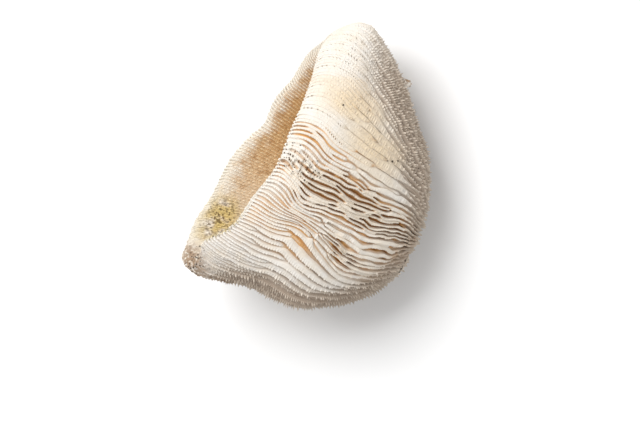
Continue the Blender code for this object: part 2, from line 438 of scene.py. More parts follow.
@dataclass
class Zones:
    """Where the skeleton is smooth, gaping, spiny, broken or stained."""

    grain: Grain
    smooth: tuple = (
        Patch((332.0, 70.0), 62.0, 56.0),
        Patch((358.0, 122.0), 42.0, 34.0, 30.0, 0.85),
        Patch((380.0, 156.0), 38.0, 22.0, 48.0, 0.95),
    )
    gaping: tuple = (
        Patch((350.0, 202.0), 78.0, 26.0, 29.0),
        Patch((300.0, 178.0), 36.0, 16.0, 32.0, 0.7),
        Patch((312.0, 136.0), 30.0, 8.0, 30.0, 0.5),
        Patch((395.0, 240.0), 34.0, 26.0, 30.0, 0.85),
        Patch((350.0, 258.0), 30.0, 13.0, 50.0, 0.9),
    )
    streaked: tuple = (
        Patch((335.0, 150.0), 48.0, 18.0, 27.0, 0.5),
        Patch((300.0, 232.0), 60.0, 30.0, 35.0, 0.45),
        Patch((370.0, 262.0), 32.0, 24.0, 20.0, 0.55),
    )
    yellowed: tuple = (
        Patch((357.0, 107.0), 38.0, 18.0, 32.0),
        Patch((338.0, 82.0), 34.0, 6.0, 12.0, 0.5),
        Patch((376.0, 148.0), 36.0, 25.0, 50.0),
        Patch((352.0, 200.0), 76.0, 26.0, 29.0, 0.3),
        Patch((345.0, 255.0), 40.0, 20.0, 40.0, 0.3),
    )
    broken: tuple = (Patch((298.0, 163.0), 30.0, 15.0, 30.0),)
    knotted: tuple = (Patch((352.0, 252.0), 52.0, 28.0, 30.0),)
    bare: tuple = (Patch((350.0, 40.0), 44.0, 40.0, 35.0),)
    crowded: tuple = (
        Patch((312.0, 140.0), 52.0, 44.0, 25.0),
        Patch((325.0, 85.0), 44.0, 30.0, 15.0, 0.8),
        Patch((285.0, 205.0), 44.0, 26.0, 35.0, 0.7),
    )
    worn: tuple = (Patch((194.0, 262.0), 26.0, 15.0, 58.0), Patch((222.0, 289.0), 26.0, 6.0, 27.0, 0.7))
    shingled: tuple = (Patch((282.0, 254.0), 86.0, 40.0, 34.0),)
    ochre: tuple = (Patch((219.0, 219.0), 24.0, 17.0, -60.0), Patch((206.0, 230.0), 13.0, 8.0, -50.0, 0.5))
    dirty: tuple = (
        Patch((193.0, 263.0), 24.0, 13.0, 58.0),
        Patch((218.0, 288.0), 28.0, 7.0, 27.0),
    )

    def seen(self, points: np.ndarray, on_dome: np.ndarray) -> np.ndarray:
        """Finds places in the photograph's frame.

        The far flank of the dome borrows the near flank's zones, moved along a little.

        Args:
            points: growth-frame points in millimetres.
            on_dome: true where a point is on the dome and not in the hollow.

        Returns:
            Frame places (x right, y down) in pixels.
        """
        d, u, w = np.moveaxis(points, -1, 0)
        far = on_dome & (w < 0.0)
        along = np.where(far, 0.9 * u + 9.0 * eased(-w / 12.0), u)
        out = np.where(far, -w, w)
        across = d * math.cos(VIEW_TILT) + out * math.sin(VIEW_TILT)
        towards = out * math.cos(VIEW_TILT) - d * math.sin(VIEW_TILT)
        near = VIEW_DISTANCE / (VIEW_DISTANCE + VIEW_CENTRE[2] - towards)
        along = VIEW_CENTRE[0] + (along - VIEW_CENTRE[0]) * near
        across = VIEW_CENTRE[1] + (across - VIEW_CENTRE[1]) * near
        x = VIEW_ORIGIN[0] + (along * VIEW_ALONG[0] + across * VIEW_ALONG[1]) / VIEW_SCALE
        y = VIEW_ORIGIN[1] + (across * VIEW_ALONG[0] - along * VIEW_ALONG[1]) / VIEW_SCALE
        return np.stack([x, y], axis=-1)

    def read(self, points: np.ndarray, place: np.ndarray, skin: Skin) -> dict:
        """Reads every zone.

        Args:
            points: smooth skin points.
            place: their places along the meridian.
            skin: the smooth skin.

        Returns:
            Fields from 0 to 1 by name, with the shape of place.
        """
        on_dome = place <= skin.rim_place
        seen = self.seen(points, on_dome)
        wander = np.stack([self.grain.at(points + 40.0, 9.0), self.grain.at(points - 70.0, 9.0)], axis=-1)
        seen = seen + 5.0 * wander
        width = np.abs(points[..., 2])
        fore = eased((points[..., 1] + 5.0) / 30.0)
        dome = on_dome.astype(float)
        fields = {
            "smooth": strongest(self.smooth, seen) * dome,
            "gaping": strongest(self.gaping, seen) * dome,
            "streaked": strongest(self.streaked, seen) * dome,
            "yellowed": strongest(self.yellowed, seen) * dome,
            "broken": strongest(self.broken, seen) * dome,
            "knotted": strongest(self.knotted, seen) * dome,
            "shingled": strongest(self.shingled, seen) * dome,
            "ochre": strongest(self.ochre, seen) * (1.0 - dome),
            "dirty": strongest(self.dirty, seen),
            "crowded": strongest(self.crowded, seen) * dome,
            "worn": strongest(self.worn, seen),
            "limb": eased((25.0 + 5.0 * fore - width) / (11.0 + 2.0 * fore)) * dome,
            "hollow": eased((place - skin.rim_place + 0.6) / 1.6),
            "depth": skin.hollow_share(place),
        }
        fields["limb"] = fields["limb"] * eased(skin.dome_share(place) / 0.2)
        bare = strongest(self.bare, seen)
        fields["tinted"] = fields["limb"] * (1.0 - bare)
        fields["limb"] = fields["limb"] * (1.0 - 0.55 * bare)
        fields["smooth"] = fields["smooth"] * (1.0 - 0.9 * fields["limb"])
        return fields


class Part(Enum):
    """The six wedges, each named for where it lies and numbered by its middle angle."""

    NOSE = 0
    UPPER_FORE = 1
    UPPER_AFT = 2
    HEEL = 3
    LOWER_AFT = 4
    LOWER_FORE = 5


def grown(least: float, extras: tuple, zone: dict) -> np.ndarray:
    """Adds to a size what the zones add to it.

    Args:
        least: the size outside all zones.
        extras: for each zone its name and what it adds.
        zone: the zone fields.

    Returns:
        The size at every place.
    """
    size = least
    for name, extra in extras:
        size = size + extra * zone[name]
    return size


@dataclass
class Blades:
    """The blades of the whole skeleton: their places, heights, gaps and teeth.

    Sizes are in millimetres, and the half widths of ended blades and of the hollow's
    ribs are shares of the pitch. A spacing is how far apart long blades stand before
    short ones grow between them. The margin is how many blades are laid out past both
    ends, so that every gap knows its neighbours, and own_step sets the noise of one
    blade apart from that of the next.
    """

    skin: Skin
    zones: Zones
    count: int = 216
    dome_rows: int = 262
    hollow_rows: int = 88
    tooth_rows: int = 3
    margin: int = 8
    own_step: float = 13.7
    least_pitch: float = 0.05
    ended_half_width: float = 0.12
    tooth_shape: tuple = (1.0, 0.40, 0.0)
    spacing: float = 3.3
    shingled_spacing: float = 1.5
    dense_spacing: float = 1.75
    knotted_spacing: float = 0.35
    limb_spacing: float = 1.6
    gap_width: float = 0.25
    gap_widths: tuple = (("gaping", 0.29), ("knotted", 0.08), ("shingled", 0.32))
    gap_deep: float = 1.55
    gap_depths: tuple = (("gaping", 1.1), ("knotted", 0.5), ("shingled", 0.3), ("limb", 1.1))
    rim_notch_depth: float = 0.9
    rib_depth: float = 0.85
    tooth: float = 0.20
    limb_tooth: float = 1.45
    shingled_tooth: float = 0.16
    rim_tooth: float = 0.30
    rib_tooth: float = 0.55
    spine_half_width: float = 0.36
    rib_half_width: float = 0.34
    pinhole_width: float = 0.14
    knot_blade: float = 64.5
    knot_reach: float = 6.5
    knot_pull: float = 0.52
    seed: int = 11
    draws: dict = field(init=False)

    def __post_init__(self) -> None:
        """Draws what differs from blade to blade."""
        draw = np.random.default_rng(self.seed)
        number = np.arange(self.count)
        major = number % 3 == 0
        reach = np.where(number % 3 == 1, 0.13, 0.24) + draw.uniform(-0.03, 0.05, self.count)
        exsert = np.where(number % 6 == 0, 0.0, np.where(major, 0.12, 0.5))
        teeth = (self.dome_rows + self.hollow_rows) // self.tooth_rows + 2
        self.draws = {
            "reach": reach,
            "longer": np.where(major, 0.0, draw.uniform(0.10, 0.45, self.count)),
            "exsert": exsert + draw.uniform(0.0, 0.22, self.count),
            "thick": draw.uniform(0.86, 1.14, self.count),
            "phase": draw.integers(0, self.tooth_rows, self.count),
            "slip": draw.uniform(-0.4, 0.4, self.count),
            "wave": draw.uniform(0.0, FULL_TURN, (self.count, 4)),
            "tooth": draw.uniform(0.15, 1.0, (self.count, teeth)),
            "pit": draw.uniform(0.0, 1.0, (self.count, teeth)),
        }

    @property
    def pitch(self) -> float:
        """Angle between neighbouring blades at the rim."""
        return FULL_TURN / self.count

    def row_places(self) -> np.ndarray:
        """Places of the rows along the meridian, closer together near the rim."""
        dome = np.linspace(0.0, self.skin.rim_place, self.dome_rows)
        share = np.linspace(0.0, 1.0, self.hollow_rows + 1)[1:]
        hollow = self.skin.rim_place + (self.skin.length - self.skin.rim_place) * share**1.35
        return np.concatenate([dome, hollow])

    def lay_out(self, first: int, last: int) -> dict:
        """Lays out blades first to last and the gaps on both their sides.

        Args:
            first: number of the first blade; it may be negative.
            last: number of the last blade.

        Returns:
            Arrays of columns by rows: turn, place, level (how far below the skin, in
            millimetres), open (how deep in a gap, 0 to 1), and the zone fields.
        """
        number = np.arange(first - self.margin, last + self.margin + 1)
        drawn = {name: values[number % self.count] for name, values in self.draws.items()}
        places = self.row_places()
        rows = len(places)
        place = np.broadcast_to(places[None, :], (len(number), rows))
        share = self.skin.dome_share(place)
        at, apart = self.drawn_together(number, share)
        turn = at * self.pitch
        middle = self.skin.points(turn, place)
        zone = self.zones.read(middle, place, self.skin)
        dome = 1.0 - zone["hollow"]

        own = np.broadcast_to((number % self.count)[:, None] * self.own_step, place.shape)
        step = np.linalg.norm(np.diff(middle, axis=0), axis=-1)
        pitch = np.maximum(np.vstack([step[:1], step]), self.least_pitch)

        # Blades wander sideways. One that ends gives its room to its neighbours.
        wave = drawn["wave"][:, :, None]
        centre = at + apart * self.sway(wave, places, middle, zone) * eased(share / 0.05 + 0.2) * dome
        stand = self.standing(number, drawn, zone, share, pitch, np.stack([own, place, 0.3 * own], axis=-1))
        before, after = self.side_room(stand, 1), self.side_room(stand, -1)
        centre = centre + 0.5 * apart * (after - before)
        room = 0.5 * (before + after)
        wide = self.half_width(room, pitch, drawn, zone, np.stack([own, place, 0.5 * own], axis=-1))
        pit = self.pinholes(number, drawn, zone, rows)
        beside_pit = np.maximum(pit, np.roll(pit, -1, axis=0))
        wide = wide - np.minimum(self.pinhole_width / pitch, 0.3 * wide) * beside_pit
        wide = blend(self.ended_half_width, wide, stand)

        depth = self.gap_depth(zone, share)
        notch = self.notches(drawn, rows)
        teeth = notch * self.tooth_height(zone, share) * stand
        edge = self.edge_level(number, drawn, zone, middle)
        edge = depth - np.maximum(depth - edge, 0.0) * stand
        section = self.section(turn, zone, pitch * np.maximum(wide, 0.2), notch, teeth, edge, depth)

        wide = wide * apart
        inner = slice(self.margin, -self.margin)
        gaps = slice(self.margin, len(number) - self.margin + 1)
        narrow = np.roll(centre + wide, 1, axis=0)
        filled = self.filled(zone, pit, (centre - wide - narrow) * pitch / apart)[gaps]
        gap_side = self.midway(centre + wide, centre - wide)
        gap_level = self.midway(depth, depth) * (1.0 - filled) + 0.5 * pit[gaps]
        feet = 0.90 * depth[inner] * (1.0 - filled[:-1]), 0.90 * depth[inner] * (1.0 - filled[1:])
        feet_stain_and_shade = 1.0 - 0.8 * filled[:-1], 1.0 - 0.8 * filled[1:]
        # Painted shade: in the limb the notches between the spines' teeth count as open, so they darken.
        low = 0.8 * notch * zone["limb"]

        # A blade's columns are its gap's middle, a foot, a shoulder, the crest, the other
        # shoulder and foot. Each has its place, level, share of the slide, and openness; openness sets the stain and
        # the painted shade of the gaps.
        columns = [
            (gap_side[:-1], gap_level[:-1], 0.0, 1.0 - filled[:-1]),
            ((centre - wide)[inner], feet[0], 0.3, section["low_stain_and_shade"][inner] * feet_stain_and_shade[0]),
            ((centre + section["low_x"] * wide)[inner], section["low_level"][inner], 0.7, low[inner]),
            ((centre + section["crest_x"] * wide)[inner], np.minimum(edge + teeth, depth)[inner], 1.0, low[inner]),
            ((centre + section["high_x"] * wide)[inner], section["high_level"][inner], 0.7, low[inner]),
            ((centre + wide)[inner], feet[1], 0.3, section["high_stain_and_shade"][inner] * feet_stain_and_shade[1]),
        ]
        row_step = self.skin.rim_place / self.dome_rows
        slide = drawn["slip"][inner, None] * row_step * np.minimum(1.0, 8.0 * share[inner])
        fallen = 1.0 - stand[inner]
        laid = {
            "turn": self.interleaved([x for x, _, _, _ in columns], gap_side) * self.pitch,
            "place": self.interleaved([place[inner] + slip * slide for _, _, slip, _ in columns], place[:1]),
            "level": self.interleaved([level for _, level, _, _ in columns], gap_level),
            "open": self.interleaved([blend(deep, 1.0, fallen) for _, _, _, deep in columns], 1.0 - filled),
        }
        laid["pit"] = np.zeros(laid["open"].shape)
        laid["pit"][:: len(columns)] = pit[gaps]
        for name, values in zone.items():
            between = self.midway(values, values)
            laid[name] = self.interleaved([between[:-1]] + [values[inner]] * (len(columns) - 1), between)
        floor = self.interleaved([depth[inner]] * len(columns), depth[gaps])
        laid["open"] = laid["open"] * eased(floor / 0.8) * eased((1.0 - self.skin.dome_share(laid["place"])) / 0.14)
        return laid

    def midway(self, before: np.ndarray, after: np.ndarray) -> np.ndarray:
        """Reads every gap halfway between the blades on its two sides.

        Args:
            before: values of the blades, read on the lower side of a gap.
            after: values of the blades, read on its higher side.

        Returns:
            Values of gaps by rows, one gap more than there are blades without the margins.
        """
        return 0.5 * (before[:-1] + after[1:])[self.margin - 1 : 1 - self.margin]

    @staticmethod
    def interleaved(columns: list, gaps: np.ndarray) -> np.ndarray:
        """Puts each blade's columns after each other, and the last gap after them all.

        Args:
            columns: for each column of a blade, values of blades by rows.
            gaps: values of gaps by rows.

        Returns:
            Values of columns by rows.
        """
        return np.vstack([np.stack(columns, axis=1).reshape(-1, gaps.shape[1]), gaps[-1:]])

    def edge_level(self, number: np.ndarray, drawn: dict, zone: dict, middle: np.ndarray) -> np.ndarray:
        """How far below the skin the edge of each blade lies.

        Args:
            number: the blades' numbers.
            drawn: the blades' own draws.
            zone: the zone fields.
            middle: smooth skin points.

        Returns:
            Millimetres, blades by rows.
        """
        grain = self.zones.grain
        lowered = (number % 6 == 3)[:, None]
        dome = 1.0 - zone["hollow"]
        level = drawn["exsert"][:, None] * (0.25 + 0.75 * dome) * (1.0 + 0.6 * zone["shingled"])
        level = level + (0.35 * zone["shingled"] + 0.6 * zone["limb"]) * lowered
        level = level * (1.0 - 0.8 * zone["smooth"])
        level = level + zone["broken"] * np.clip(grain.at(middle, 1.5) * 2.2 + 0.4, 0.0, 1.0) * 1.1
        level = level + zone["worn"] * np.clip(grain.at(middle, 0.8) + 0.5, 0.0, 1.2) * 0.55
        sunken = zone["knotted"] * (1.0 - zone["limb"])
        return level + sunken * np.clip(grain.at(middle, 3.2) + 0.2, 0.0, 0.9)

    @staticmethod
    def section(
        turn: np.ndarray,
        zone: dict,
        thickness: np.ndarray,
        notch: np.ndarray,
        teeth: np.ndarray,
        edge: np.ndarray,
        depth: np.ndarray,
    ) -> dict:
        """Shapes the cross section of each blade.

        A leaning blade has a broad noseward face and a toothed, heelward lip.

        Args:
            turn: angles at the rim.
            zone: the zone fields.
            thickness: half widths of the blades in millimetres.
            notch: the notches between their teeth.
            teeth: how far the notches cut in, in millimetres.
            edge: level of their edges.
            depth: depth of their gaps.

        Returns:
            Places across the blade, in shares of its half width, of its crest and of the
            shoulders on its low and high side, with the shoulders' levels and the stain
            and painted shade of both feet.
        """
        tilt = np.maximum.reduce([0.95 * zone["shingled"], 0.6 * zone["streaked"], 0.6 * zone["gaping"]])
        tilt = np.maximum(tilt, 0.3) * (1.0 - 0.8 * zone["limb"])
        tilt = tilt * eased(np.abs(np.sin(turn)) / 0.25) * (1.0 - zone["hollow"])
        serrated = (0.24 + 0.66 * zone["shingled"] + 0.10 * zone["gaping"]) * (1.0 - 0.6 * zone["smooth"])
        lip = np.maximum(1.0 - notch * serrated / thickness, 0.55)
        face = np.minimum(edge + (0.12 + 0.36 * tilt) * (depth - edge) + teeth * 0.9 * zone["limb"], depth)
        drop = np.minimum(edge + 0.14 * (depth - edge) + teeth * (0.25 + 0.65 * zone["limb"]), depth)
        at_face = 0.40 * tilt - 0.85
        at_crest = 0.80 * tilt * lip
        at_drop = (0.84 + 0.15 * tilt) * lip
        # Painted shade: on the shingles the foot of the broad face stays dark, as under the next blade's lip.
        shaded_shingles = zone["shingled"] * (1.0 - np.clip(1.8 * zone["streaked"], 0.0, 1.0))
        face_stain_and_shade = 0.72 * (1.0 - np.clip(1.3 * tilt, 0.0, 0.75) * (1.0 - 0.9 * shaded_shingles))
        heelward = np.sin(turn) >= 0.0
        return {
            "low_x": np.where(heelward, at_face, -at_drop),
            "crest_x": np.where(heelward, at_crest, -at_crest),
            "high_x": np.where(heelward, at_drop, -at_face),
            "low_level": np.where(heelward, face, drop),
            "high_level": np.where(heelward, drop, face),
            "low_stain_and_shade": np.where(heelward, face_stain_and_shade, 0.72),
            "high_stain_and_shade": np.where(heelward, 0.72, face_stain_and_shade),
        }

    def drawn_together(self, number: np.ndarray, share: np.ndarray) -> tuple:
        """Draws blades together where the bulge of the lower flank spreads them.

        Args:
            number: the blades' numbers.
            share: height on the dome.

        Returns:
            Where each blade stands and how far apart neighbours are, both counted in
            blades of even spacing.
        """
        pull = self.knot_pull * eased(share / 0.3) * eased((1.0 - share) / 0.3)
        at = np.broadcast_to(number[:, None].astype(float), share.shape)
        apart = np.ones(share.shape)
        for knot in (self.knot_blade, self.count - self.knot_blade):
            off = ((number[:, None] - knot + 0.5 * self.count) % self.count - 0.5 * self.count) / self.knot_reach
            at = at - pull * self.knot_reach * off * bell(off, 0.0, 1.0)
            apart = apart - pull * (1.0 - 2.0 * off**2) * bell(off, 0.0, 1.0)
        return at, apart

    def sway(self, wave: np.ndarray, places: np.ndarray, middle: np.ndarray, zone: dict) -> np.ndarray:
        """How far blades wander sideways, most where they gape.

        Args:
            wave: the blades' own phases.
            places: places of the rows along the meridian.
            middle: smooth skin points.
            zone: the zone fields.

        Returns:
            Shares of the pitch, blades by rows.
        """
        run = places[None, :]
        own = (
            0.60 * np.sin(run / 5.2 + wave[:, 0])
            + 0.30 * np.sin(run / 2.6 + wave[:, 1])
            + 0.12 * np.sin(run / 1.1 + wave[:, 2])
        )
        own = own * (0.12 + 0.15 * np.maximum(zone["gaping"], zone["knotted"]))
        shared = 0.35 + 0.5 * zone["shingled"] + 0.55 * zone["gaping"] + 0.5 * zone["crowded"]
        return own + self.zones.grain.at(middle, 9.0) * shared + 0.5 * self.zones.grain.at(middle, 4.0) * zone["gaping"]

    def standing(
        self, number: np.ndarray, drawn: dict, zone: dict, share: np.ndarray, pitch: np.ndarray, along: np.ndarray
    ) -> np.ndarray:
        """How far each blade stands, from 0 where it has ended to 1.

        Two short blades grow between each pair of long ones near the rim, and again where
        the long ones stand far apart. Towards the crest the long ones end by turns.

        Args:
            number: the blades' numbers.
            drawn: the blades' own draws.
            zone: the zone fields.
            share: height on the dome.
            pitch: distance between blades in millimetres.
            along: places for noise that differs from blade to blade.

        Returns:
            Values of blades by rows.
        """
        reach = drawn["reach"][:, None] + drawn["longer"][:, None] * zone["crowded"]
        short = eased((reach - share) / 0.06 + 0.5)
        dense = np.maximum.reduce([zone["gaping"], zone["knotted"], 0.8 * zone["crowded"], 0.5 * zone["streaked"]])
        spacing = self.spacing + self.shingled_spacing * zone["shingled"] * (1.0 - dense)
        spacing = spacing - self.dense_spacing * np.clip(dense * 1.3, 0.0, 1.0)
        spacing = spacing - self.knotted_spacing * zone["knotted"] - self.limb_spacing * zone["limb"] * (1.0 - dense)
        uneven = self.zones.grain.at(along, 6.0)
        ratio = 3.0 * pitch / spacing * (1.0 + 0.22 * uneven)
        threshold = np.where(number % 3 == 2, 1.25, 2.15)[:, None]
        short = np.maximum(short, eased((ratio - threshold) / 0.24))
        least = np.select([number % 6 == 3, number % 12 == 6], [1.15, 0.60], 0.0)[:, None]
        long = np.where(least > 0.0, eased((3.0 * pitch * (1.0 + 0.15 * uneven) - least) / 0.4 + 0.5), 1.0)
        return np.where((number % 3 == 0)[:, None], long, short * eased((0.94 - share) / 0.06))

    @staticmethod
    def side_room(stand: np.ndarray, way: int) -> np.ndarray:
        """Half the room to the next standing blade on one side.

        Args:
            stand: how far each blade stands.
            way: 1 for the side of the lower numbers, -1 for the other.

        Returns:
            Shares of the pitch, blades by rows.
        """
        room = np.full(stand.shape, 0.5)
        ended = np.ones(stand.shape)
        for step in range(1, 7):
            ended = ended * (1.0 - np.roll(stand, way * step, axis=0))
            room = room + 0.5 * ended
        return room

    def half_width(
        self, room: np.ndarray, pitch: np.ndarray, drawn: dict, zone: dict, along: np.ndarray
    ) -> np.ndarray:
        """Half widths of the blades, in shares of the pitch.

        Args:
            room: half the room of each blade.
            pitch: distance between blades in millimetres.
            drawn: the blades' own draws.
            zone: the zone fields.
            along: places for noise that differs from blade to blade.

        Returns:
            Values of blades by rows.
        """
        gap = grown(self.gap_width, self.gap_widths, zone) * (1.0 - 0.4 * zone["smooth"])
        uneven = self.zones.grain.at(along, 6.5) + 0.45 * self.zones.grain.at(along + 5.0, 2.2)
        loose = np.maximum.reduce([zone["gaping"], zone["broken"], zone["knotted"], 0.5 * zone["crowded"]])
        gap = gap * np.clip(1.0 + (0.35 + 0.85 * loose) * uneven, 0.15, 1.75) * drawn["thick"][:, None]
        wide = room - np.clip(0.5 * gap / pitch, 0.04, 0.42 * room)
        spine = np.minimum(self.spine_half_width / pitch, 0.72 * room)
        wide = blend(wide, spine, eased(zone["limb"] * 1.4 - 0.2))
        return np.where(zone["hollow"] > 0.5, self.rib_half_width, wide)

    def gap_depth(self, zone: dict, share: np.ndarray) -> np.ndarray:
        """Depth of the gaps below the skin.

        Args:
            zone: the zone fields.
            share: height on the dome.

        Returns:
            Millimetres, blades by rows.
        """
        depth = grown(self.gap_deep, self.gap_depths, zone)
        depth = depth * (1.0 - 0.62 * zone["smooth"]) * (1.0 - 0.5 * zone["worn"])
        depth = depth * (0.6 + 0.4 * eased(share / 0.10)) * eased((1.0 - share) / 0.04 + 0.15)
        depth = blend(depth, self.rib_depth * (1.0 - 0.7 * zone["depth"]), zone["hollow"])
        rim = bell(share, 0.0, 0.03) * bell(zone["depth"], 0.0, 0.03)
        return depth + self.rim_notch_depth * rim * (1.0 - zone["worn"])

    def notches(self, drawn: dict, rows: int) -> np.ndarray:
        """Notches between the teeth of each blade's edge.

        Args:
            drawn: the blades' own draws.
            rows: how many rows there are.

        Returns:
            From 0 at a tooth's tip to 1 in the deepest notch, blades by rows.
        """
        row = np.arange(rows)[None, :] + drawn["phase"][:, None]
        strength = np.take_along_axis(drawn["tooth"], row // self.tooth_rows, axis=1)
        shape = np.array(self.tooth_shape)[row % self.tooth_rows]
        return 1.0 - strength * shape

    def tooth_height(self, zone: dict, share: np.ndarray) -> np.ndarray:
        """Height of the teeth.

        Args:
            zone: the zone fields.
            share: height on the dome.

        Returns:
            Millimetres, blades by rows.
        """
        height = self.tooth + self.limb_tooth * zone["limb"]
        height = height + self.shingled_tooth * zone["shingled"] * eased(share / 0.14)
        height = height * (1.0 - 0.35 * zone["smooth"]) * (1.0 - 0.5 * zone["gaping"]) + 0.2 * zone["yellowed"]
        height = height + self.rim_tooth * bell(share, 0.0, 0.02) * (1.0 - zone["hollow"])
        return blend(height, self.rib_tooth * (1.0 - 0.5 * zone["depth"]), zone["hollow"])

    def pinholes(self, number: np.ndarray, drawn: dict, zone: dict, rows: int) -> np.ndarray:
        """Pinholes in the closed gaps of the smooth top and of the broken part.

        Args:
            number: the blades' numbers.
            drawn: the blades' own draws.
            zone: the zone fields.
            rows: how many rows there are.

        Returns:
            Values of blades by rows, 1 at each hole.
        """
        row = np.arange(rows)[None, :] + drawn["phase"][:, None]
        chance = np.take_along_axis(drawn["pit"], (row // 3) % drawn["pit"].shape[1], axis=1)
        is_pit = (row % 3 == 0) & (chance > 0.35) & (number % 3 == 2)[:, None]
        rows_of = is_pit * eased(zone["smooth"] * 2.0 - 0.4) * (1.0 - eased(zone["yellowed"] * 1.6))
        return np.maximum(rows_of, ((row % 3 == 0) & (chance > 0.62)) * eased(zone["broken"] * 1.8 - 0.3))

    def filled(self, zone: dict, pit: np.ndarray, width: np.ndarray) -> np.ndarray:
        """How far each gap is filled up, from 0 to 1.

        Gaps that gape are bridged where they are narrowest. Those of the smooth top are
        closed but for their pinholes.

        Args:
            zone: the zone fields.
            pit: the pinholes.
            width: the gaps' widths in millimetres.

        Returns:
            Values of gaps by rows, each gap before its blade.
        """
        loose = np.maximum.reduce([zone["gaping"], zone["broken"], 0.7 * zone["crowded"]])
        bridged = loose * eased((0.28 + 0.4 * zone["broken"] - width) / 0.16)
        return np.maximum(0.9 * bridged, 0.95 * eased(zone["smooth"] * 2.0 - 0.3)) * (1.0 - pit)


@dataclass(frozen=True)
class SkeletonFinish:
    """Dry, chalky skeleton: creamy white blades, gaps with stains and painted shade, and a tan underside."""

    name: str = "coral_skeleton_surface"
    dirt: tuple = (0.30, 0.19, 0.11)
    white: tuple = (0.775, 0.74, 0.69)
    cream: tuple = (0.76, 0.62, 0.43)
    beige: tuple = (0.58, 0.49, 0.39)
    ochre: tuple = (0.68, 0.37, 0.12)
    # Dark brown deep in the gaps: partly a real stain, partly painted shade.
    umber_stain_and_shade: tuple = (0.18, 0.066, 0.015)
    # Grey-brown painted shade for the gaps, pinholes and notches.
    shade: tuple = (0.45, 0.36, 0.285)
    tan: tuple = (0.68, 0.48, 0.25)
    rust: tuple = (0.40, 0.20, 0.06)
    pale: tuple = (0.80, 0.75, 0.66)
    moss: tuple = (0.68, 0.54, 0.24)
    soot: tuple = (0.13, 0.075, 0.025)
    roughness: float = 0.92
    shine: float = 0.25
    bump_strength: float = 0.6
    bump_height: float = 0.0004

    def build(self) -> bpy.types.Material:
        """Makes the material.

        Returns:
            A material that reads the skeleton's attributes and Object coordinates.
        """
        material = plain_material(self.name, self.white, self.roughness)
        tree = material.node_tree
        surface = tree.nodes["Principled BSDF"]
        surface.inputs["Specular IOR Level"].default_value = self.shine
        surface.inputs["Metallic"].default_value = 0.0
        paint = Paint(tree)
        domed = paint.layered(
            self.white,
            (paint.ramp(paint.noise(260.0, 4.0), 0.35, 0.75, 0.30), self.cream),
            (paint.scaled("yellowed", 0.90), self.cream),
            (paint.spots("yellowed", 900.0, 3.0, 0.46, 0.62, 0.6), self.beige),
            (paint.scaled("limb", 0.70), self.beige),
            # Painted shade in the gaps, pinholes and notches.
            (paint.scaled("shaded", 0.85), self.shade),
            (paint.attribute("rusted"), self.ochre),
            # Dark brown deep in the gaps: partly a real stain, partly painted shade.
            (paint.attribute("sunk"), self.umber_stain_and_shade),
        )
        hollowed = paint.layered(
            self.pale,
            (paint.attribute("deep"), self.tan),
            (paint.attribute("deeper"), self.rust),
            (paint.spots("deep", 1500.0, 3.0, 0.50, 0.62, 0.5), self.rust),
            (paint.spots("deep", 330.0, 4.0, 0.52, 0.68, 0.7), self.rust),
            (paint.scaled("ribbed", 0.85), self.rust),
            (paint.attribute("mossy"), self.moss),
        )
        colour = paint.layered(
            domed,
            (paint.attribute("hollow"), hollowed),
            (paint.spots("dirty", 760.0, 4.0, 0.37, 0.50, 0.9), self.dirt),
            (paint.spots("specked", 1000.0, 3.0, 0.52, 0.58, 0.85), self.soot),
        )
        tree.links.new(colour, surface.inputs["Base Color"])
        bump = tree.nodes.new("ShaderNodeBump")
        bump.inputs["Strength"].default_value = self.bump_strength
        bump.inputs["Distance"].default_value = self.bump_height
        tree.links.new(paint.noise(1500.0, 3.0), bump.inputs["Height"])
        tree.links.new(bump.outputs["Normal"], surface.inputs["Normal"])
        return material


